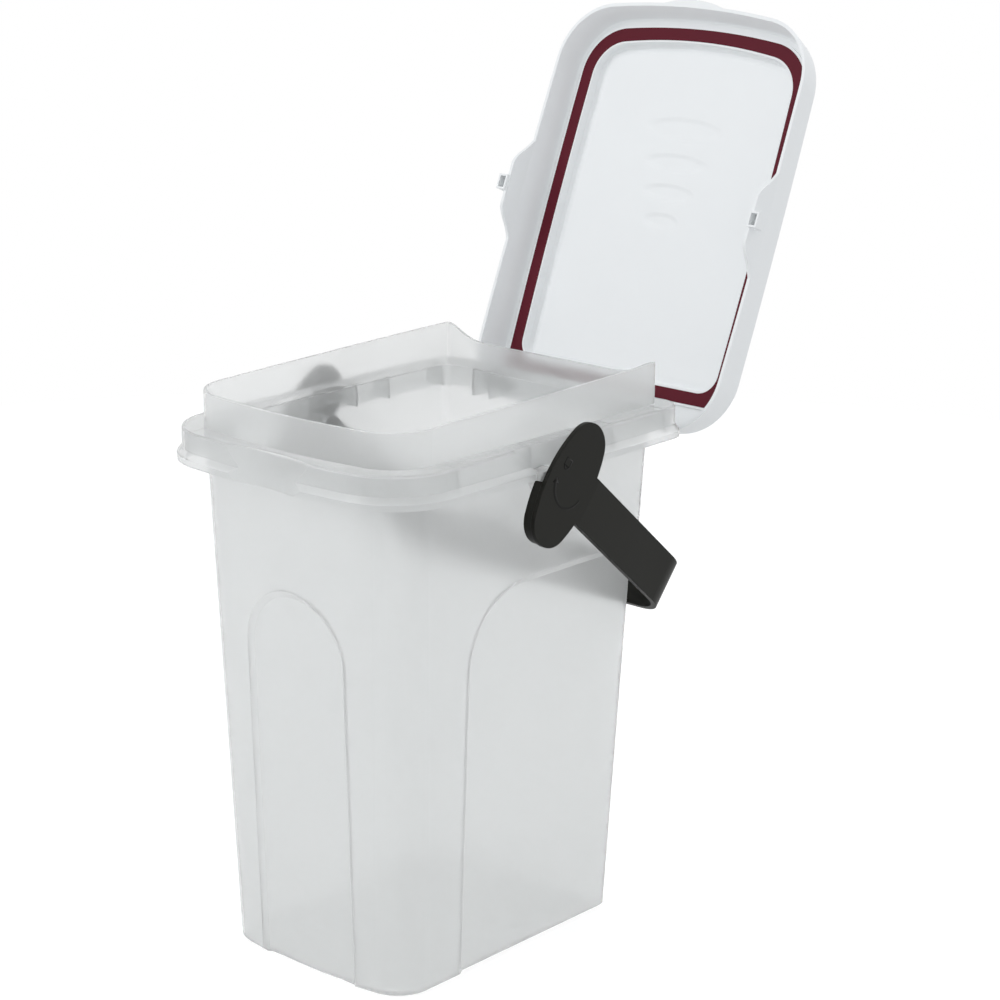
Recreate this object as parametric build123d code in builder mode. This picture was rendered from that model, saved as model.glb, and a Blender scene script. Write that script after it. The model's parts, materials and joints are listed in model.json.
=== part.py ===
from build123d import *
import os
from math import asin, cos, hypot, radians, sin, tan

# Pet food container: a tapered tub with a hinged lid, a seal and a carrying handle.
# Millimetres, +Z up, front towards -Y, origin at the centre of the underside.
# The lid stands open, leaning back on its hinge, and the handle hangs behind the tub.

# Tapered body of the tub
wall = 2.1
floor_thickness = 2.5
base_half_width = 78.7
base_front = 111.3
base_rear = 100.85
top_half_width = 90.3
top_front = 125.8
top_rear = 118.5
body_front_radius = 26.0
body_rear_radius = 5.5
body_bow_radius = 340.0
body_bow_half_width = 54.0
least_corner = 5.0
foot_bevel = 2.0

# Recessed panels of the body, with sloping edges
recess_depth = 3.0
recess_edge = 4.5
arch_half_width = 40.0
arch_centre_z = 214.0
recess_front_y = -49.5
recess_top_z = 254.7
recess_corner = 50.0

# Neck round the mouth
neck_wall = 2.0
neck_half_width = 91.0
neck_front = -117.8
neck_rear = 121.2
neck_front_radius = 31.4
neck_rear_radius = 2.0
neck_front_bow = 8.8
side_bow = 1.6
rim_z = 371.7
rim_tilt = 1.15
rear_rim_z = 364.0
rear_rim_half_width = 54.0
rim_swoop_low = 0.6
rim_swoop_high = 0.3

# Shelf, skirt and lip outside the neck
hood_wall = 2.0
shelf_z = 347.2
shelf_reach = 13.3
skirt_z = 334.5
lip_reach = 16.4
lip_top_z = 330.5
lip_z = 326.6
shelf_edge_radius = 1.4
shelf_edge_steps = 2

# Dished finger notch in the front of the skirt
notch_z = 378.0
notch_radius = 50.8
notch_depth = 9.0

# Pockets in the skirt for the ears of the lid
ear_y = 1.5
ear_foot_half_width = 14.0
ear_foot_z = 336.0
ear_flank = 8.0
ear_flank_half_width = 27.0
ear_flank_z = 348.0
ear_top_half_width = 37.5
ear_top_z = 352.5
ear_gap = 3.5
pocket_reach = 10.7

# Ribs under the shelf
rib = 1.5
rib_z = 331.0
side_ribs_y = (-83.0, -15.0, 30.0, 61.0, 114.0)
front_ribs_x = (-75.0, 75.0)

# Handle pivots
pivot_y = 6.5
pivot_z = 320.15
pin_radius = 4.6
pin_clearance = 0.08
boss_radius = 8.5
boss_x = 105.8
bore_x = 95.0
pin_x = 97.0
cutaway_front = -17.0
cutaway_rear = 31.0
cutaway_top = 332.5

# Lid hinge
hinge_y = 140.45
hinge_z = 332.55
open_angle = 113.2
hinge_pin_radius = 2.5
hinge_clearance = 0.08
lug_radius = 5.5
lug_thickness = 2.0
lug_inner_x = 48.0
lug_gap = 13.0
arm_gap = 0.3
arm_radius = 5.3
arm_drop = 6.0
arm_rise = 4.0
arm_lean = 0.9
snap_slot = 3.9
lip_relief = 6.3

# Lid
lid_wall = 2.2
lid_half_width = 104.9
lid_front = -131.7
lid_rear = 147.9
lid_front_bow = 10.0
lid_front_radius = 42.8
lid_rear_radius = 40.0
lid_rim_z = 351.7
lid_draft = 3.0
lid_edge_radius = 3.5
lid_edge_steps = 3
lid_inner_edge_steps = 1
lid_overlap = 1.0
panel_root = -6.5
panel_rise = 6.2
panel_bevel = 2.0
panel_rear_radius = 13.0
channel_rib = 1.5
channel_inner_rib = 1.2
channel_rib_height = 2.2
tab_half_width = 5.3
tab_low_z = 333.8
tab_high_z = 343.0
tab_inner_x = 105.0
tab_outer_x = 112.4
tab_wall = 1.3
thumb_half_width = 27.0
thumb_reach = 3.5
thumb_height = 10.0

# Seal
seal_gap = 0.3
seal_thickness = 2.6
seal_outer = 3.25
seal_clearance = 0.05

# Handle
handle_angle = -40.0
strap_x = 116.0
strap_end_x = 111.4
strap_start = 24.0
strap_thickness = 3.8
strap_half_width = 16.25
grip_reach = 151.5
grip_bend = 22.6
pad_half_length = 22.05
pad_half_height = 42.3
pad_end_radius = 17.5
pad_inner_x = 113.0
pad_overlap = 1.0
cam_inner_x = 106.5
cam_top = -9.5
cam_inset = 1.0
cam_wall = 2.5

# Values worked out from these
slope = tan(radians(rim_tilt))
channel_z = rim_z + seal_gap + seal_thickness
lid_top_z = channel_z + lid_wall
bow_angle = asin(body_bow_half_width / body_bow_radius)
flare = recess_edge / recess_depth
shelf_front = neck_front - shelf_reach - neck_front_bow
dish_radius = (notch_radius**2 + notch_depth**2) / (2 * notch_depth)
dish_y = shelf_front + notch_depth - dish_radius
lug_outer_x = lug_inner_x + lug_thickness + lug_gap
pin_middle_x = lug_inner_x + lug_thickness + lug_gap / 2
straight_limit = 0.000001
rising_slope = 0.9
far = 200.0


def plan(half_width, front, rear, front_radius, rear_radius, front_bow):
    """Outline seen from above: bowed sides, a bowed front and a straight back."""
    middle = (front + rear) / 2
    with BuildSketch() as outline:
        with BuildLine():
            ThreePointArc((half_width, front), (half_width + side_bow, middle), (half_width, rear))
            Line((half_width, rear), (-half_width, rear))
            ThreePointArc((-half_width, rear), (-half_width - side_bow, middle), (-half_width, front))
            ThreePointArc((-half_width, front), (0, front - front_bow), (half_width, front))
        make_face()
        fillet(outline.vertices().group_by(Axis.Y)[0], front_radius)
        fillet(outline.vertices().group_by(Axis.Y)[-1], rear_radius)
    return outline.sketch


def neck_plan(offset):
    """Outline of the neck, grown by offset."""
    return plan(
        neck_half_width + offset,
        neck_front - offset,
        neck_rear + offset,
        neck_front_radius + offset,
        max(neck_rear_radius + offset, neck_rear_radius),
        neck_front_bow,
    )


def between(low, high, share):
    """Value at a share of the way from low to high."""
    return low + share * (high - low)


def body_plan(inset, share):
    """Outline of the body at a share of its height, drawn in by inset, with sharp corners at the back."""
    half_width = between(base_half_width, top_half_width, share) - inset
    front = between(base_front, top_front, share) - inset
    rear = between(base_rear, top_rear, share) - inset
    bow_radius = body_bow_radius - inset
    bow_x = bow_radius * sin(bow_angle)
    bow_y = bow_radius * (1 - cos(bow_angle)) - front
    corner_y = bow_y + (half_width - bow_x) * tan(bow_angle)
    with BuildSketch() as outline:
        with BuildLine():
            ThreePointArc((-bow_x, bow_y), (0, -front), (bow_x, bow_y))
            Polyline(
                (bow_x, bow_y),
                (half_width, corner_y),
                (half_width, rear),
                (-half_width, rear),
                (-half_width, corner_y),
                (-bow_x, bow_y),
            )
        make_face()
        fillet(outline.vertices().group_by(Axis.Y)[1], body_front_radius - inset)
    return outline.sketch


def lid_plan(offset, draft=0.0):
    """Outline of the lid in its closed position, grown by offset and drawn in by the draft."""
    return plan(
        lid_half_width + offset - draft,
        lid_front - offset + draft,
        lid_rear + offset - draft,
        lid_front_radius + offset,
        lid_rear_radius + offset,
        lid_front_bow,
    )


def panel_plan(offset):
    """Outline of the raised panel inside the seal, grown by offset."""
    grown = panel_root + offset
    return plan(
        neck_half_width + grown,
        neck_front - grown,
        neck_rear + grown,
        neck_front_radius + grown,
        panel_rear_radius + offset,
        neck_front_bow,
    )


def flat_sided(form):
    """The same solid, with a true plane for each face that has only straight edges."""
    faces = []
    for face in form.faces():
        edges = face.outer_wire().order_edges()
        if all(edge.length - (edge @ 1 - edge @ 0).length < straight_limit for edge in edges):
            faces.append(Face(Wire.make_polygon([edge @ 0 for edge in edges])))
        else:
            faces.append(face)
    return Solid(Shell(faces))


def taper(inset, bottom, rings=()):
    """Tapered body without its recesses, drawn in by inset, standing on bottom and with rings of edges."""
    with BuildPart() as sharp:
        for z in (bottom, *rings, shelf_z):
            with BuildSketch(Plane.XY.offset(z)):
                add(body_plan(inset, (z - bottom) / (shelf_z - bottom)))
        loft(ruled=True)
    with BuildPart() as form:
        add(flat_sided(sharp.part))
        rising = form.edges().filter_by(lambda edge: abs(edge.tangent_at(0.5).Z) > rising_slope)
        fillet(rising.filter_by_position(Axis.Y, 0, far), max(body_rear_radius - inset, least_corner))
        chamfer(form.faces().sort_by(Axis.Z)[0].edges(), foot_bevel)
    return form.part


def body_wall(out_x, out_y, low, high, bottom):
    """Plane on a leaning wall of the body that faces along (out_x, out_y), with its origin at the bottom."""
    lean = (high - low) / (shelf_z - bottom)
    origin = (out_x * low, out_y * low, bottom)
    return Plane(origin=origin, x_dir=(-out_y, out_x, 0), z_dir=(out_x, out_y, -lean))


def arch_panel(grow, bottom):
    """Outline of the front recess, wider than a circle by what the bow of the front takes away."""
    bow = arch_half_width**2 / (2 * body_bow_radius)
    high = arch_half_width + grow
    wide = high + flare * bow
    centre = arch_centre_z - bottom
    with BuildSketch() as outline:
        with BuildLine():
            EllipticalCenterArc((0, centre), wide, high, start_angle=0, arc_size=180)
            Polyline((-wide, centre), (-wide, -far), (wide, -far), (wide, centre))
        make_face()
    return outline.sketch


def side_panel(grow, bottom):
    """Outline of the recess in the right side, rounded at the top of its front edge."""
    with BuildSketch() as outline:
        with Locations((recess_front_y - grow, recess_top_z + grow - bottom)):
            Rectangle(2 * far, 2 * far, align=(Align.MIN, Align.MAX))
        fillet(outline.vertices().group_by(Axis.Y)[-1].sort_by(Axis.X)[0], recess_corner + grow)
    return outline.sketch


def rear_panel(grow, bottom):
    """Outline of the recess across the back."""
    with BuildSketch() as outline:
        with Locations((0, recess_top_z + grow - bottom)):
            Rectangle(2 * far, 2 * far, align=(Align.CENTER, Align.MAX))
    return outline.sketch


def recess_cutter(wall_plane, panel, inset, bottom):
    """Cutter for a recess whose edges flare outwards, grown to suit a wall drawn in by inset."""
    mitre = inset * (hypot(1, flare) - flare)
    surface = wall_plane.offset(-inset)
    with BuildPart() as cutter:
        for height in (-2 * recess_depth, recess_depth):
            with BuildSketch(surface.offset(height)):
                add(panel(mitre + flare * (height + recess_depth / 2), bottom))
        loft(ruled=True)
    return cutter.part


def body_form(inset, bottom, rings=()):
    """Tapered body with its recessed panels, drawn in by inset."""
    front_wall = body_wall(0, -1, base_front, top_front, bottom)
    side_wall = body_wall(1, 0, base_half_width, top_half_width, bottom)
    rear_wall = body_wall(0, 1, base_rear, top_rear, bottom)
    with BuildPart() as form:
        add(taper(inset, bottom, rings))
        side = recess_cutter(side_wall, side_panel, inset, bottom)
        add(side, mode=Mode.SUBTRACT)
        add(mirror(side, about=Plane.YZ, mode=Mode.PRIVATE), mode=Mode.SUBTRACT)
        add(recess_cutter(front_wall, arch_panel, inset, bottom), mode=Mode.SUBTRACT)
        add(recess_cutter(rear_wall, rear_panel, inset, bottom), mode=Mode.SUBTRACT)
        add(taper(inset + recess_depth, bottom))
    return form.part


def ear_outline(gap):
    """Ear seen from the side, with S-shaped flanks, let down and widened for a gap round it."""
    widening = gap / 4
    foot = ear_foot_half_width + widening
    low = ear_foot_z - gap
    high = ear_top_z - gap
    top = ear_top_half_width + widening
    with BuildSketch() as outline:
        with BuildLine():
            for side in (-1, 1):
                Bezier(
                    (ear_y + side * foot, low),
                    (ear_y + side * (foot + ear_flank), low),
                    (ear_y + side * (ear_flank_half_width + widening), ear_flank_z - gap),
                    (ear_y + side * top, high),
                )
                Line((ear_y + side * top, high), (ear_y + side * top, high + far))
            Line((ear_y - foot, low), (ear_y + foot, low))
            Line((ear_y - top, high + far), (ear_y + top, high + far))
        make_face()
    return outline.sketch


def pocket(inset):
    """Space outside the floor of both ear pockets."""
    with BuildPart() as space:
        with BuildSketch(Plane.YZ):
            add(ear_outline(ear_gap + inset))
        extrude(amount=far, both=True)
        with BuildSketch(Plane.XY.offset(lip_z - far)):
            add(neck_plan(pocket_reach - inset))
        extrude(amount=3 * far, mode=Mode.SUBTRACT)
    return space.part


def hood_form(inset):
    """Shelf, skirt and flared lip with the notch and the ear pockets, drawn in by inset."""
    edge = max(shelf_edge_radius - inset, 0)
    levels = [(lip_z - inset, lip_reach), (lip_top_z, lip_reach), (skirt_z, shelf_reach)]
    for step in range(shelf_edge_steps + 1 if edge else 1):
        turn = radians(90 * step / shelf_edge_steps)
        levels.append((shelf_z - inset - edge * (1 - sin(turn)), shelf_reach - edge * (1 - cos(turn))))
    with BuildPart() as form:
        for z, reach in levels:
            with BuildSketch(Plane.XY.offset(z)):
                add(neck_plan(reach - inset))
        loft(ruled=True)
        with Locations((0, dish_y, notch_z)):
            Sphere(dish_radius + inset, mode=Mode.SUBTRACT)
        add(pocket(inset), mode=Mode.SUBTRACT)
    return form.part


def open_lid(y, z):
    """Where a point of the closed lid is while the lid stands open."""
    angle = radians(open_angle)
    back = y - hinge_y
    height = z - hinge_z
    open_y = hinge_y + back * cos(angle) + height * sin(angle)
    open_z = hinge_z - back * sin(angle) + height * cos(angle)
    return open_y, open_z


def lid_level(z, tilt=0.0):
    """Plane of the open lid for a plan drawn at height z in the closed position."""
    lean = radians(tilt - open_angle)
    return Plane(origin=(0, *open_lid(0, z)), x_dir=(1, 0, 0), z_dir=(0, -sin(lean), cos(lean)))


def channel_level(height):
    """Plane of the open lid at a height over the floor of the seal channel."""
    return lid_level(channel_z, rim_tilt).offset(height)


def lid_side(x):
    """Plane of the open lid for a side view drawn in the closed position."""
    lean = radians(-open_angle)
    return Plane(origin=(x, *open_lid(0, 0)), x_dir=(0, cos(lean), sin(lean)), z_dir=(1, 0, 0))


def handle_side(x):
    """Plane of the handle seen from the side: along the strap, then across it."""
    angle = radians(handle_angle)
    return Plane(origin=(x, pivot_y, pivot_z), x_dir=(0, cos(angle), sin(angle)), z_dir=(1, 0, 0))


def lid_form(inset, bottom, top, edge_radius, steps):
    """Tray of the lid, drawn in by inset, with a tilted top and a rounded top edge."""
    with BuildPart() as form:
        with BuildSketch(lid_level(bottom)):
            add(lid_plan(-inset))
        for step in range(steps + 1):
            turn = radians(90 * step / steps)
            with BuildSketch(lid_level(top - edge_radius * (1 - sin(turn)), rim_tilt)):
                add(lid_plan(-inset, lid_draft + edge_radius * (1 - cos(turn))))
        loft(ruled=True)
    return form.part


def panel_form(offset, low, high):
    """Raised centre panel of the lid, grown by offset, between two heights over the channel's floor."""
    with BuildPart() as form:
        with BuildSketch(channel_level(low)):
            add(panel_plan(offset))
        extrude(amount=high - low)
        chamfer(form.faces().sort_by(SortBy.AREA)[-2:].sort_by(Axis.Y)[-1].edges(), panel_bevel)
    return form.part


def thumb_outline(half_width, reach):
    """Bowed outline of the thumb lip, rooted inside the front wall of the lid."""
    root = lid_front - lid_front_bow + lid_wall - lid_overlap
    with BuildSketch() as outline:
        with BuildLine():
            ThreePointArc((-half_width, root), (0, lid_front - lid_front_bow - reach), (half_width, root))
            Line((-half_width, root), (half_width, root))
        make_face()
    return outline.sketch


def pad_outline(inset):
    """Oval pad of the handle from four arcs, drawn in by inset."""
    end = pad_end_radius
    centre_w = pad_half_height - end
    flank = (pad_half_length**2 + centre_w**2 - end**2) / (2 * (pad_half_length - end))
    centre_u = flank - pad_half_length
    reach = (flank - inset) / hypot(centre_u, centre_w)
    joint_u = reach * centre_u - centre_u
    joint_w = reach * centre_w
    side_u = pad_half_length - inset
    side_w = pad_half_height - inset
    with BuildSketch() as outline:
        with BuildLine():
            ThreePointArc((joint_u, -joint_w), (side_u, 0), (joint_u, joint_w))
            ThreePointArc((joint_u, joint_w), (0, side_w), (-joint_u, joint_w))
            ThreePointArc((-joint_u, joint_w), (-side_u, 0), (-joint_u, -joint_w))
            ThreePointArc((-joint_u, -joint_w), (0, -side_w), (joint_u, -joint_w))
        make_face()
    return outline.sketch


# Ribs under the shelf, cut to the shape of the skirt
with BuildPart() as ribs:
    with BuildSketch(Plane.XY.offset(rib_z)):
        for y in side_ribs_y:
            with Locations((0, y)):
                Rectangle(2 * far, rib)
        for x in front_ribs_x:
            with Locations((x, 0)):
                Rectangle(rib, far, align=(Align.CENTER, Align.MAX))
        for side in (-1, 1):
            for x in (lug_inner_x, lug_outer_x):
                with Locations((side * (x + lug_thickness / 2), 0)):
                    Rectangle(rib, far, align=(Align.CENTER, Align.MIN))
    extrude(amount=shelf_z - rib_z - hood_wall / 2)
    add(hood_form(hood_wall / 2), mode=Mode.INTERSECT)

# Tub: body, neck, shelf with its skirt, handle bosses and hinge lugs in one moulding
with BuildPart() as tub:
    add(hood_form(0))
    add(hood_form(hood_wall), mode=Mode.SUBTRACT)
    with BuildSketch(Plane.YZ):
        with Locations((cutaway_front, cutaway_top)):
            Rectangle(cutaway_rear - cutaway_front, far, align=(Align.MIN, Align.MAX))
    extrude(amount=far, both=True, mode=Mode.SUBTRACT)
    add(ribs.part)
    for side in (-1, 1):
        with BuildSketch(Plane.YZ.offset(side * pin_middle_x)):
            with Locations((hinge_y, hinge_z)):
                Circle(lip_relief)
        extrude(amount=lug_gap / 2, both=True, mode=Mode.SUBTRACT)
        for x in (lug_inner_x, lug_outer_x):
            with BuildSketch(Plane.YZ.offset(side * (x + lug_thickness / 2))):
                with Locations((hinge_y, hinge_z)):
                    Circle(lug_radius)
                    Rectangle(hinge_y - top_rear, 2 * lug_radius, align=(Align.MAX, Align.CENTER))
            extrude(amount=lug_thickness / 2, both=True)
        with BuildSketch(Plane.YZ.offset(side * pin_middle_x)):
            with Locations((hinge_y, hinge_z)):
                Circle(hinge_pin_radius)
        extrude(amount=lug_gap / 2, both=True)
        with BuildSketch(Plane.YZ.offset(side * base_half_width)):
            with Locations((pivot_y, pivot_z)):
                Circle(boss_radius)
        extrude(amount=side * (boss_x - base_half_width))
    add(body_form(0, 0, [rib_z]))
    with BuildSketch(Plane.XY.offset(shelf_z - hood_wall)):
        add(neck_plan(0))
    extrude(amount=rim_z + far * slope - shelf_z + hood_wall)
    with BuildSketch(Plane.YZ):
        with BuildLine():
            Polyline(
                (-far, rim_z - far * slope),
                (far, rim_z + far * slope),
                (far, rim_z + far),
                (-far, rim_z + far),
                close=True,
            )
        make_face()
    extrude(amount=far, both=True, mode=Mode.SUBTRACT)
    with BuildSketch(Plane.XZ.offset(-neck_rear)):
        with BuildLine():
            corner_z = rim_z + neck_rear * slope
            swoop = neck_half_width - rear_rim_half_width
            for side in (-1, 1):
                Bezier(
                    (side * rear_rim_half_width, rear_rim_z),
                    (side * (rear_rim_half_width + rim_swoop_low * swoop), rear_rim_z),
                    (side * (neck_half_width - rim_swoop_high * swoop), corner_z),
                    (side * neck_half_width, corner_z),
                )
                Line((side * neck_half_width, corner_z), (side * neck_half_width, corner_z + far))
            Line((-rear_rim_half_width, rear_rim_z), (rear_rim_half_width, rear_rim_z))
            Line((-neck_half_width, corner_z + far), (neck_half_width, corner_z + far))
        make_face()
    extrude(amount=2 * neck_wall, both=True, mode=Mode.SUBTRACT)
    add(body_form(wall, floor_thickness), mode=Mode.SUBTRACT)
    with BuildSketch(Plane.XY.offset(shelf_z - hood_wall)):
        add(neck_plan(-neck_wall))
    extrude(amount=far, mode=Mode.SUBTRACT)
    for side in (-1, 1):
        with BuildSketch(Plane.YZ.offset(side * bore_x)):
            with Locations((pivot_y, pivot_z)):
                Circle(pin_radius + pin_clearance)
        extrude(amount=side * far, mode=Mode.SUBTRACT)

# Ears that hang from the sides of the lid
with BuildPart() as ears:
    with BuildSketch(lid_level(lid_rim_z + lid_overlap)):
        add(lid_plan(0))
        add(lid_plan(-lid_wall), mode=Mode.SUBTRACT)
    extrude(amount=ear_foot_z - lid_rim_z - lid_overlap)
    with BuildSketch(lid_side(0)):
        add(ear_outline(0))
    extrude(amount=far, both=True, mode=Mode.INTERSECT)

# Thumb lip at the front of the lid, fading into its wall
with BuildPart() as thumb:
    with BuildSketch(lid_level(lid_rim_z)):
        add(thumb_outline(thumb_half_width, thumb_reach))
    with BuildSketch(lid_level(lid_rim_z + thumb_height)):
        add(thumb_outline(thumb_half_width / 2, 0))
    loft()

# Lid: tray with a seal channel, raised panel, ears with latch tabs, thumb lip and hinge arms
with BuildPart() as lid:
    add(lid_form(0, lid_rim_z, lid_top_z, lid_edge_radius, lid_edge_steps))
    add(thumb.part)
    hollow = lid_form(lid_wall, lid_rim_z, channel_z, lid_edge_radius - lid_wall, lid_inner_edge_steps)
    add(hollow, mode=Mode.SUBTRACT)
    add(panel_form(lid_wall, lid_wall / 2, lid_wall + panel_rise))
    with BuildSketch(channel_level(lid_wall / 2)):
        add(neck_plan(seal_outer + channel_rib))
        add(neck_plan(seal_outer + seal_clearance), mode=Mode.SUBTRACT)
        add(panel_plan(channel_inner_rib))
    extrude(amount=-channel_rib_height - lid_wall / 2)
    add(panel_form(0, -channel_rib_height, panel_rise), mode=Mode.SUBTRACT)
    add(ears.part)
    for side in (-1, 1):
        tab_middle = side * (tab_inner_x + tab_outer_x) / 2
        with BuildSketch(lid_level(tab_high_z)):
            with Locations((tab_middle, ear_y)):
                Rectangle(tab_outer_x - tab_inner_x, 2 * tab_half_width)
        extrude(amount=tab_low_z - tab_high_z)
        with BuildSketch(lid_level(tab_high_z - tab_wall)):
            with Locations((tab_middle, ear_y)):
                Rectangle(tab_outer_x - tab_inner_x - 2 * tab_wall, 2 * (tab_half_width - tab_wall))
        extrude(amount=tab_low_z - tab_high_z, mode=Mode.SUBTRACT)
        with BuildSketch(lid_side(side * pin_middle_x)):
            with BuildLine():
                Polyline(
                    (hinge_y + arm_radius, hinge_z),
                    (lid_rear, lid_rim_z - arm_drop),
                    (lid_rear, lid_rim_z),
                    (lid_rear - arm_lean, lid_rim_z + arm_rise),
                    (lid_rear - lid_wall, lid_rim_z + arm_rise),
                    (hinge_y + arm_lean, lid_rim_z - arm_drop),
                    (hinge_y - arm_radius, hinge_z),
                    close=True,
                )
            make_face()
            with Locations((hinge_y, hinge_z)):
                Circle(arm_radius)
                Circle(hinge_pin_radius + hinge_clearance, mode=Mode.SUBTRACT)
                Rectangle(snap_slot, 2 * arm_radius, align=(Align.CENTER, Align.MAX), mode=Mode.SUBTRACT)
        extrude(amount=lug_gap / 2 - arm_gap, both=True)

# Seal: a soft ring between the two ribs of the lid's channel
with BuildPart() as seal:
    with BuildSketch(channel_level(-seal_clearance)):
        add(neck_plan(seal_outer))
        add(panel_plan(channel_inner_rib + seal_clearance), mode=Mode.SUBTRACT)
    extrude(amount=seal_clearance - seal_thickness)

# Handle: strap bent round behind the tub, with a pad, a cam and a pivot pin at each end
with BuildPart() as handle:
    across = radians(handle_angle)
    strap_plane = Plane(origin=(0, pivot_y, pivot_z), x_dir=(1, 0, 0), z_dir=(0, -sin(across), cos(across)))
    with BuildSketch(strap_plane):
        with BuildLine():
            band = FilletPolyline(
                (strap_x, strap_start),
                (strap_end_x, grip_reach),
                (-strap_end_x, grip_reach),
                (-strap_x, strap_start),
                radius=grip_bend,
            )
            offset(band, amount=strap_thickness, side=Side.LEFT)
        make_face()
    extrude(amount=strap_half_width, both=True)
    for side in (-1, 1):
        with BuildSketch(handle_side(side * pad_inner_x)):
            add(pad_outline(0))
            Rectangle(strap_start, 2 * strap_half_width, align=(Align.MIN, Align.CENTER))
        extrude(amount=side * (strap_x - pad_inner_x))
        with BuildSketch(handle_side(side * cam_inner_x)):
            add(pad_outline(cam_inset))
            with Locations((0, cam_top)):
                Rectangle(far, far, align=(Align.CENTER, Align.MIN), mode=Mode.SUBTRACT)
        extrude(amount=side * (pad_inner_x + pad_overlap - cam_inner_x))
        with BuildSketch(handle_side(side * cam_inner_x)):
            add(pad_outline(cam_inset + cam_wall))
            with Locations((0, cam_top - cam_wall)):
                Rectangle(far, far, align=(Align.CENTER, Align.MIN), mode=Mode.SUBTRACT)
        extrude(amount=side * (pad_inner_x - cam_inner_x), mode=Mode.SUBTRACT)
        with BuildSketch(handle_side(side * pin_x)):
            Circle(pin_radius)
        extrude(amount=side * (pad_inner_x + pad_overlap - pin_x))

os.makedirs("parts", exist_ok=True)
tub.part.label = "tub"
export_step(tub.part, "parts/tub.step")
lid.part.label = "lid"
export_step(lid.part, "parts/lid.step")
seal.part.label = "seal"
export_step(seal.part, "parts/seal.step")
handle.part.label = "handle"
export_step(handle.part, "parts/handle.step")
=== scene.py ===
import json
from math import cos, radians, sin, tan

import bmesh
import bpy
from mathutils import Matrix, Vector


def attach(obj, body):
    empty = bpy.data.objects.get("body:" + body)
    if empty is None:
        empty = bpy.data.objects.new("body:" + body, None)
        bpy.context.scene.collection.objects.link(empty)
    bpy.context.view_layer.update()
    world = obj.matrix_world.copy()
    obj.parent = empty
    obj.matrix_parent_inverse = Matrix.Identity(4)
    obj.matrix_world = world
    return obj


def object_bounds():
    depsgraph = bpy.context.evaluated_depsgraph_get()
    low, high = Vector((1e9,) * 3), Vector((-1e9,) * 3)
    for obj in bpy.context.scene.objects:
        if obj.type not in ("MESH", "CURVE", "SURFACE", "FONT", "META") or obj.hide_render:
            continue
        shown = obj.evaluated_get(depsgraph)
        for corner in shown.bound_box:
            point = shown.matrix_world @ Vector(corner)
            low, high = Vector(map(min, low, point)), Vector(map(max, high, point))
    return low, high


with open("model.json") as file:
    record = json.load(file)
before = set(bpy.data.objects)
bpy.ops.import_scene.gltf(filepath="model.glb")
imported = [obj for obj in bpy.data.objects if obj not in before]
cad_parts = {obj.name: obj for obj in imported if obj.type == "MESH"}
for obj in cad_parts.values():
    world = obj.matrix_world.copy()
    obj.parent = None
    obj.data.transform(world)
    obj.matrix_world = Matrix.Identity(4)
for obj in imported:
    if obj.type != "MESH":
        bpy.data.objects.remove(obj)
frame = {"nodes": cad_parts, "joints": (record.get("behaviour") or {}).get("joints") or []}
cad_low, cad_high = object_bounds()

# Names in the frame
TUB, LID, SEAL, HANDLE = "tub", "lid", "seal", "handle"
HINGE = next(joint for joint in frame["joints"] if joint["name"] == "lid_hinge")
PIVOT = next(joint for joint in frame["joints"] if joint["name"] == "handle_pivot")

# Camera that took the photograph: angles in degrees, lengths in metres, the lens in millimetres
CAMERA_AZIMUTH = 41.35
CAMERA_ELEVATION = 15.82
CAMERA_ROLL = 0.407
CAMERA_DISTANCE = 1.8077
CAMERA_TARGET = Vector((0.03633, 0.03197, 0.29016))
CAMERA_LENS = 101.62
CAMERA_NEAR = 0.1
CAMERA_FAR = 50

# Square lamps: name, place, point they look at, and power in watts
LAMP_SIZE = 1.8
LAMPS = (
    ("key", (-1.1, -2.3, 2.4), (0, 0, 0.3), 28),
    ("fill", (2.4, -1.2, 1.6), (0, 0, 0.3), 5),
    ("back", (0.6, 2.4, 2.2), (0, 0, 0.4), 14),
)

# World and floor: white where they are seen, plain for other light
WHITE = (1, 1, 1, 1)
WORLD_SEEN_STRENGTH = 1.0
WORLD_TINT = (0.96, 0.98, 1, 1)
WORLD_STRENGTH = 0.69
FLOOR_RADIUS = 1.5
FLOOR_SEGMENTS = 96
FLOOR_DROP = 0.0002
FLOOR_TINT = (0.8, 0.8, 0.8, 1)
FLOOR_SEEN_TINT = (0.42, 0.42, 0.42, 1)
FLOOR_GLOW = 0.72

# Noise that tints and gloss follow: the values between which they change, scales per metre
NOISE_LOW = 0.3
NOISE_HIGH = 0.7
DRIFT_SCALE = 18.0
DRIFT_DETAIL = 3.0
GRAIN_DETAIL = 2.0
GRAIN_STRENGTH = 0.5
GLOSS_DRIFT = 0.04

# Clear plastic of the tub
TUB_TINTS = ((0.918, 0.927, 0.925), (0.938, 0.947, 0.945))
TUB_ROUGHNESS = (0.20, 0.26)
TUB_DRIFT_SCALE = 9.0
TUB_GRAIN_SCALE = 1800.0
TUB_GRAIN_HEIGHT = 0.00002
TUB_GRAIN_STRENGTH = 0.4
TUB_TRANSMISSION = 0.84
TUB_IOR = 1.3
TUB_COAT = 0.25
TUB_COAT_ROUGHNESS = 0.12
TUB_GLOW_TINT = (0.93, 0.935, 0.94, 1)
TUB_GLOW_SHARE = 0.15

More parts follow.
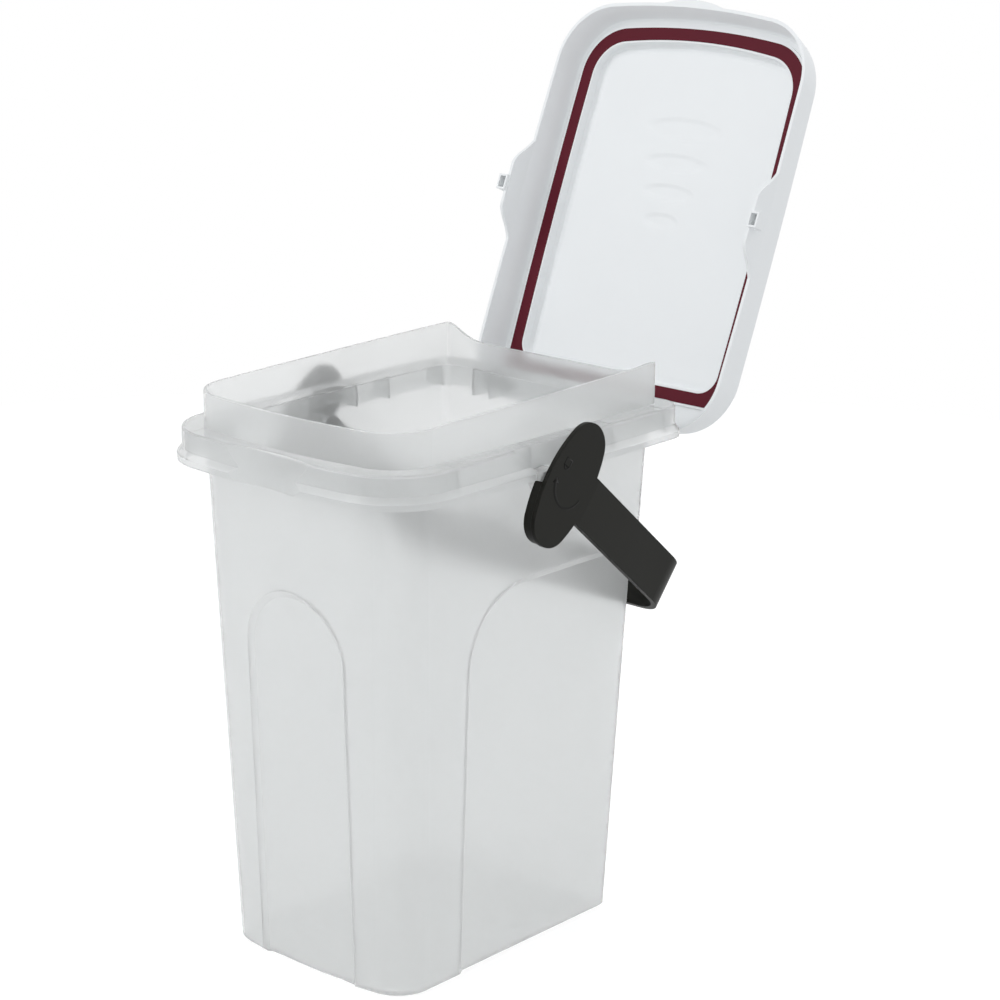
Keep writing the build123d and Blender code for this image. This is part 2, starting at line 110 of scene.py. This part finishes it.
# Opaque plastics and rubber
LID_TINTS = ((0.895, 0.91, 0.917), (0.91, 0.925, 0.932))
SIGN_TINTS = ((0.006, 0.006, 0.005), (0.009, 0.009, 0.008))
SEAL_TINTS = ((0.100, 0.008, 0.017), (0.112, 0.010, 0.021))
HANDLE_TINTS = ((0.0072, 0.0072, 0.0052), (0.0096, 0.0096, 0.0072))
LID_GRAIN_SCALE = 2600.0
SEAL_GRAIN_SCALE = 1200.0
HANDLE_GRAIN_SCALE = 2200.0
FINE_HEIGHT = 0.00003
HANDLE_GRAIN_HEIGHT = 0.00008
HANDLE_EDGE = 0.0007

# Panel of the closed lid, in metres and degrees
LID_ANGLE = 113.2
PANEL_TILT = 1.15
PANEL_LEVEL = 0.3808
PANEL_HALF_WIDTH = 0.0845
PANEL_FRONT = -0.1113
PANEL_REAR = 0.1147
PANEL_BOW = 0.0088
PANEL_SIDE_BOW = 0.0016

# Inner skin of the panel and its oval scoops: middle along the lid, half length and half width
SKIN_RISE = 0.0012
SKIN_SINK = 0.0004
SKIN_FADE = 0.007
SKIN_STEP = 0.0012
SKIN_MARGIN = 0.0015
SCOOP_DEPTH = 0.0011
SCOOP_RIM = 1.8
SCOOPS = (
    (-0.0610, 0.0355, 0.0083),
    (-0.0370, 0.0290, 0.0067),
    (-0.0163, 0.0235, 0.0059),
    (0.0038, 0.0162, 0.0054),
)

# Signs on the handle's pads, in metres from the pivot: along the strap, then across it
HANDLE_ANGLE = -40.0
PAD_FACE_X = 0.116
SIGN_RISE = 0.00012
SIGN_FOOT = -0.00005
SIGN_WIDTH = 0.0018
SIGN_PROFILE = ((-0.5, SIGN_FOOT), (-0.35, SIGN_RISE), (0.35, SIGN_RISE), (0.5, SIGN_FOOT))
LOCK_PLACE = (-0.0110, 0.0100)
LOCK_WIDTH = 0.0056
LOCK_HEIGHT = 0.0046
SHACKLE_SHARE = 0.7
SHACKLE_STEPS = 10
ARROW_RADIUS = 0.0146
ARROW_START = -12.0
ARROW_SWEEP = -146.0
ARROW_STEPS = 40
ARROW_THIN = 0.0012
ARROW_WIDE = 0.0029
ARROW_HEAD = 0.0058
ARROW_TIP = 14


def new_material(name):
    """Empty node material, its tree and its output node."""
    material = bpy.data.materials.new(name)
    material.use_nodes = True
    tree = material.node_tree
    tree.nodes.clear()
    output = tree.nodes.new("ShaderNodeOutputMaterial")
    return material, tree, output


def add_noise(tree, scale, detail):
    """Noise in the object's own metres."""
    place = tree.nodes.new("ShaderNodeTexCoord")
    noise = tree.nodes.new("ShaderNodeTexNoise")
    noise.inputs["Scale"].default_value = scale
    noise.inputs["Detail"].default_value = detail
    tree.links.new(place.outputs["Object"], noise.inputs["Vector"])
    return noise.outputs["Fac"]


def bump(tree, height, distance, strength, edge=0.0):
    """Bump from a height value, in metres, with edges that catch the light as if rounded."""
    node = tree.nodes.new("ShaderNodeBump")
    if edge:
        rounded = tree.nodes.new("ShaderNodeBevel")
        rounded.inputs["Radius"].default_value = edge
        tree.links.new(rounded.outputs["Normal"], node.inputs["Normal"])
    node.inputs["Distance"].default_value = distance
    node.inputs["Strength"].default_value = strength
    tree.links.new(height, node.inputs["Height"])
    return node.outputs["Normal"]


def spread(tree, value, low, high):
    """Value that goes from low to high with the noise."""
    node = tree.nodes.new("ShaderNodeMapRange")
    node.inputs["From Min"].default_value = NOISE_LOW
    node.inputs["From Max"].default_value = NOISE_HIGH
    node.inputs["To Min"].default_value = low
    node.inputs["To Max"].default_value = high
    tree.links.new(value, node.inputs["Value"])
    return node.outputs["Result"]


def blend_tints(tree, value, tints):
    """Colour that goes from the first tint to the second with the noise."""
    node = tree.nodes.new("ShaderNodeValToRGB")
    for element, place, tint in zip(node.color_ramp.elements, (NOISE_LOW, NOISE_HIGH), tints):
        element.position = place
        element.color = (*tint, 1)
    tree.links.new(value, node.inputs["Fac"])
    return node.outputs["Color"]


def moulded(name, tints, roughness, specular, grain_scale, grain_height=FINE_HEIGHT, edge=0.0):
    """Opaque moulded plastic: slight colour drift, uneven gloss and a fine spark-eroded grain."""
    material, tree, output = new_material(name)
    shader = tree.nodes.new("ShaderNodeBsdfPrincipled")
    drift = add_noise(tree, DRIFT_SCALE, DRIFT_DETAIL)
    grain = add_noise(tree, grain_scale, GRAIN_DETAIL)
    gloss = spread(tree, drift, roughness - GLOSS_DRIFT, roughness + GLOSS_DRIFT)
    normal = bump(tree, grain, grain_height, GRAIN_STRENGTH, edge)
    tree.links.new(blend_tints(tree, drift, tints), shader.inputs["Base Color"])
    tree.links.new(gloss, shader.inputs["Roughness"])
    tree.links.new(normal, shader.inputs["Normal"])
    shader.inputs["Specular IOR Level"].default_value = specular
    tree.links.new(shader.outputs["BSDF"], output.inputs["Surface"])
    return material


def milky(name):
    """Translucent polypropylene: part of the light scatters, part goes through, blurred."""
    material, tree, output = new_material(name)
    drift = add_noise(tree, TUB_DRIFT_SCALE, DRIFT_DETAIL)
    grain = add_noise(tree, TUB_GRAIN_SCALE, GRAIN_DETAIL)
    normal = bump(tree, grain, TUB_GRAIN_HEIGHT, TUB_GRAIN_STRENGTH)
    skin = tree.nodes.new("ShaderNodeBsdfPrincipled")
    tree.links.new(blend_tints(tree, drift, TUB_TINTS), skin.inputs["Base Color"])
    tree.links.new(spread(tree, drift, *TUB_ROUGHNESS), skin.inputs["Roughness"])
    tree.links.new(normal, skin.inputs["Normal"])
    skin.inputs["Transmission Weight"].default_value = TUB_TRANSMISSION
    skin.inputs["IOR"].default_value = TUB_IOR
    skin.inputs["Coat Weight"].default_value = TUB_COAT
    skin.inputs["Coat Roughness"].default_value = TUB_COAT_ROUGHNESS
    glow = tree.nodes.new("ShaderNodeBsdfTranslucent")
    glow.inputs["Color"].default_value = TUB_GLOW_TINT
    mix = tree.nodes.new("ShaderNodeMixShader")
    mix.inputs["Fac"].default_value = TUB_GLOW_SHARE
    tree.links.new(skin.outputs["BSDF"], mix.inputs[1])
    tree.links.new(glow.outputs["BSDF"], mix.inputs[2])
    tree.links.new(mix.outputs["Shader"], output.inputs["Surface"])
    return material


def dress(node, material):
    """Gives a carried-over node its material."""
    slots = frame["nodes"][node].data.materials
    slots.clear()
    slots.append(material)


def new_piece(name, shape, body, material):
    """Object from a bmesh that rides on a body, with smooth faces."""
    mesh = bpy.data.meshes.new(name)
    for face in shape.faces:
        face.smooth = True
    shape.to_mesh(mesh)
    shape.free()
    piece = bpy.data.objects.new(name, mesh)
    bpy.context.collection.objects.link(piece)
    mesh.materials.append(material)
    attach(piece, body)
    return piece


def open_lid(point):
    """Where a point of the closed lid is in the frame, where the lid stands open."""
    hinge = Vector(HINGE["pos_m"])
    turn = Matrix.Rotation(radians(-LID_ANGLE), 3, "X")
    return hinge + turn @ (Vector(point) - hinge)


def edge_distance(x, y):
    """Rough distance in from the edge of the lid's panel, less than zero outside it."""
    middle = (PANEL_FRONT + PANEL_REAR) / 2
    side = PANEL_HALF_WIDTH + PANEL_SIDE_BOW * (1 - ((y - middle) / (PANEL_REAR - middle)) ** 2)
    front = PANEL_FRONT - PANEL_BOW * (1 - (x / PANEL_HALF_WIDTH) ** 2)
    return min(side - abs(x), y - front, PANEL_REAR - y)


def smooth_step(value):
    """Soft 0 to 1 ramp."""
    held = min(max(value, 0.0), 1.0)
    return held * held * (3 - 2 * held)


def scoop_depth(x, y):
    """How deep the oval scoops are at a point of the panel."""
    depth = 0.0
    for middle, half_length, half_width in SCOOPS:
        away = (x / half_length) ** 2 + ((y - middle) / half_width) ** 2
        if away < 1:
            depth = SCOOP_DEPTH * smooth_step(SCOOP_RIM * (1 - away))
    return depth


def add_panel_skin(material):
    """Inner skin of the lid's panel with its oval scoops, sinking into the panel near its edge."""
    shape = bmesh.new()
    across = int(PANEL_HALF_WIDTH / SKIN_STEP)
    first = int((PANEL_FRONT - PANEL_BOW) / SKIN_STEP)
    last = int(PANEL_REAR / SKIN_STEP)
    corners = {}
    for i in range(-across, across + 1):
        for j in range(first, last + 1):
            x, y = i * SKIN_STEP, j * SKIN_STEP
            away = edge_distance(x, y)
            if away < SKIN_MARGIN:
                continue
            rise = (SKIN_RISE + SKIN_SINK) * smooth_step(away / SKIN_FADE) - SKIN_SINK - scoop_depth(x, y)
            level = PANEL_LEVEL + y * tan(radians(PANEL_TILT)) - rise
            corners[i, j] = shape.verts.new(open_lid((x, y, level)))
    for i, j in corners:
        square = [corners.get(key) for key in ((i, j), (i, j + 1), (i + 1, j + 1), (i + 1, j))]
        if all(square):
            shape.faces.new(square)
    return new_piece("lid_panel_skin", shape, "lid", material)


def pad_point(side, along, across, rise):
    """Point on the outer face of a pad of the handle."""
    turn = radians(HANDLE_ANGLE)
    y = PIVOT["pos_m"][1] + along * cos(turn) - across * sin(turn)
    z = PIVOT["pos_m"][2] + along * sin(turn) + across * cos(turn)
    return Vector((side * (PAD_FACE_X + rise), y, z))


def add_face(shape, side, corners):
    """Face that looks outwards on either side of the object."""
    shape.faces.new(corners if side > 0 else corners[::-1])


def add_ribbon(shape, side, points, widths, closed=False):
    """Raised flat ribbon along points of a pad's face, with bevelled sides and a width for each point."""
    count = len(points)
    rows = []
    for index, (u, w) in enumerate(points):
        before = points[index - 1] if index or closed else points[index]
        after = points[(index + 1) % count] if index < count - 1 or closed else points[index]
        du, dw = after[0] - before[0], after[1] - before[1]
        length = (du * du + dw * dw) ** 0.5
        out_u, out_w = -dw / length * widths[index], du / length * widths[index]
        row = []
        for offset, rise in SIGN_PROFILE:
            row.append(shape.verts.new(pad_point(side, u + out_u * offset, w + out_w * offset, rise)))
        rows.append(row)
    pairs = list(zip(rows, rows[1:]))
    if closed:
        pairs.append((rows[-1], rows[0]))
    for first, second in pairs:
        for k in range(len(SIGN_PROFILE) - 1):
            add_face(shape, side, (first[k], first[k + 1], second[k + 1], second[k]))


def add_plate(shape, side, points):
    """Raised flat shape on a pad's face."""
    top = [shape.verts.new(pad_point(side, u, w, SIGN_RISE)) for u, w in points]
    foot = [shape.verts.new(pad_point(side, u, w, SIGN_FOOT)) for u, w in points]
    add_face(shape, side, top)
    for k in range(len(points)):
        after = (k + 1) % len(points)
        add_face(shape, side, (foot[k], foot[after], top[after], top[k]))


def arc(middle, radius, start, sweep, steps):
    """Points of an arc, in degrees."""
    points = []
    for step in range(steps + 1):
        angle = radians(start + sweep * step / steps)
        points.append((middle[0] + radius * cos(angle), middle[1] + radius * sin(angle)))
    return points


def add_lock(shape, side):
    """Padlock on one pad: a box outline and its shackle."""
    u, w = LOCK_PLACE
    half, high = LOCK_WIDTH / 2, LOCK_HEIGHT / 2
    body = [(u - half, w - high), (u + half, w - high), (u + half, w + high), (u - half, w + high)]
    add_ribbon(shape, side, body, [SIGN_WIDTH] * len(body), closed=True)
    shackle = arc((u, w - high), half * SHACKLE_SHARE, 180, 180, SHACKLE_STEPS)
    add_ribbon(shape, side, shackle, [SIGN_WIDTH] * len(shackle))


def add_arrow(shape, side):
    """Turning arrow on one pad: an arc that widens towards its head."""
    sweep = arc((0, 0), ARROW_RADIUS, ARROW_START, ARROW_SWEEP, ARROW_STEPS)
    growth = (ARROW_WIDE - ARROW_THIN) / (len(sweep) - 1)
    add_ribbon(shape, side, sweep, [ARROW_THIN + growth * step for step in range(len(sweep))])
    end = radians(ARROW_START + ARROW_SWEEP)
    tip = radians(ARROW_START + ARROW_SWEEP - ARROW_TIP)
    outer, inner = ARROW_RADIUS + ARROW_HEAD / 2, ARROW_RADIUS - ARROW_HEAD / 2
    head = [
        (ARROW_RADIUS * cos(tip), ARROW_RADIUS * sin(tip)),
        (outer * cos(end), outer * sin(end)),
        (inner * cos(end), inner * sin(end)),
    ]
    add_plate(shape, side, head)


def add_signs(side, name, material):
    """Padlock and turning arrow on one pad."""
    shape = bmesh.new()
    add_lock(shape, side)
    add_arrow(shape, side)
    return new_piece(name, shape, "handle", material)


def add_camera():
    """Camera at the photograph's place, level but for a slight roll."""
    data = bpy.data.cameras.new("camera")
    data.lens = CAMERA_LENS
    camera = bpy.data.objects.new("camera", data)
    bpy.context.collection.objects.link(camera)
    azimuth, elevation = radians(CAMERA_AZIMUTH), radians(CAMERA_ELEVATION)
    back = Vector((sin(azimuth) * cos(elevation), -cos(azimuth) * cos(elevation), sin(elevation)))
    right = Vector((cos(azimuth), sin(azimuth), 0))
    turn = Matrix((right, back.cross(right), back)).transposed().to_4x4()
    roll = Matrix.Rotation(radians(CAMERA_ROLL), 4, "Z")
    camera.matrix_world = Matrix.Translation(CAMERA_TARGET + back * CAMERA_DISTANCE) @ turn @ roll
    data.clip_start = CAMERA_NEAR
    data.clip_end = CAMERA_FAR
    bpy.context.scene.camera = camera


def add_lamp(name, place, aim, power):
    """Soft square lamp that looks at a point."""
    data = bpy.data.lights.new(name, "AREA")
    data.shape = "SQUARE"
    data.size = LAMP_SIZE
    data.energy = power
    lamp = bpy.data.objects.new(name, data)
    bpy.context.collection.objects.link(lamp)
    lamp.location = place
    lamp.rotation_mode = "QUATERNION"
    lamp.rotation_quaternion = (Vector(aim) - Vector(place)).to_track_quat("-Z", "Y")


def seen_ray(tree):
    """1 for rays from the camera and for what gloss and clear plastic show, otherwise 0."""
    path = tree.nodes.new("ShaderNodeLightPath")
    total = path.outputs["Is Camera Ray"]
    for name in ("Is Glossy Ray", "Is Transmission Ray"):
        either = tree.nodes.new("ShaderNodeMath")
        either.operation = "MAXIMUM"
        tree.links.new(total, either.inputs[0])
        tree.links.new(path.outputs[name], either.inputs[1])
        total = either.outputs["Value"]
    return total


def add_world():
    """White behind the object where it is seen, and a plain pale light for the rest."""
    world = bpy.data.worlds.new("studio")
    world.use_nodes = True
    tree = world.node_tree
    tree.nodes.clear()
    output = tree.nodes.new("ShaderNodeOutputWorld")
    seen = tree.nodes.new("ShaderNodeBackground")
    seen.inputs["Color"].default_value = WHITE
    seen.inputs["Strength"].default_value = WORLD_SEEN_STRENGTH
    light = tree.nodes.new("ShaderNodeBackground")
    light.inputs["Color"].default_value = WORLD_TINT
    light.inputs["Strength"].default_value = WORLD_STRENGTH
    mix = tree.nodes.new("ShaderNodeMixShader")
    tree.links.new(seen_ray(tree), mix.inputs["Fac"])
    tree.links.new(light.outputs["Background"], mix.inputs[1])
    tree.links.new(seen.outputs["Background"], mix.inputs[2])
    tree.links.new(mix.outputs["Shader"], output.inputs["Surface"])
    bpy.context.scene.world = world


def floor_material():
    """White that keeps the object's soft shadow where it is seen, and plain for other light."""
    material, tree, output = new_material("floor_white")
    plain = tree.nodes.new("ShaderNodeBsdfDiffuse")
    plain.inputs["Color"].default_value = FLOOR_TINT
    shaded = tree.nodes.new("ShaderNodeBsdfDiffuse")
    shaded.inputs["Color"].default_value = FLOOR_SEEN_TINT
    glow = tree.nodes.new("ShaderNodeEmission")
    glow.inputs["Color"].default_value = WHITE
    glow.inputs["Strength"].default_value = FLOOR_GLOW
    bright = tree.nodes.new("ShaderNodeAddShader")
    tree.links.new(shaded.outputs["BSDF"], bright.inputs[0])
    tree.links.new(glow.outputs["Emission"], bright.inputs[1])
    mix = tree.nodes.new("ShaderNodeMixShader")
    tree.links.new(seen_ray(tree), mix.inputs["Fac"])
    tree.links.new(plain.outputs["BSDF"], mix.inputs[1])
    tree.links.new(bright.outputs["Shader"], mix.inputs[2])
    tree.links.new(mix.outputs["Shader"], output.inputs["Surface"])
    return material


def add_floor():
    """Round floor just under the object."""
    mesh = bpy.data.meshes.new("floor")
    shape = bmesh.new()
    bmesh.ops.create_circle(shape, cap_ends=True, segments=FLOOR_SEGMENTS, radius=FLOOR_RADIUS)
    shape.to_mesh(mesh)
    shape.free()
    floor = bpy.data.objects.new("floor", mesh)
    bpy.context.collection.objects.link(floor)
    floor.location.z = cad_low.z - FLOOR_DROP
    mesh.materials.append(floor_material())


white_plastic = moulded(
    "white_lid_plastic", LID_TINTS, roughness=0.45, specular=0.2, grain_scale=LID_GRAIN_SCALE
)
sign_plastic = moulded(
    "dark_sign_plastic", SIGN_TINTS, roughness=0.35, specular=0.1, grain_scale=HANDLE_GRAIN_SCALE
)
seal_rubber = moulded(
    "seal_rubber", SEAL_TINTS, roughness=0.42, specular=0.10, grain_scale=SEAL_GRAIN_SCALE
)
handle_plastic = moulded(
    "dark_handle_plastic",
    HANDLE_TINTS,
    roughness=0.45,
    specular=0.14,
    grain_scale=HANDLE_GRAIN_SCALE,
    grain_height=HANDLE_GRAIN_HEIGHT,
    edge=HANDLE_EDGE,
)
dress(TUB, milky("milky_polypropylene"))
dress(LID, white_plastic)
dress(SEAL, seal_rubber)
dress(HANDLE, handle_plastic)

add_panel_skin(white_plastic)
add_signs(1, "pad_signs_right", sign_plastic)
add_signs(-1, "pad_signs_left", sign_plastic)

add_camera()
add_world()
add_floor()
for lamp_name, lamp_place, lamp_aim, lamp_power in LAMPS:
    add_lamp(lamp_name, lamp_place, lamp_aim, lamp_power)
bpy.context.scene.view_settings.view_transform = "Standard"
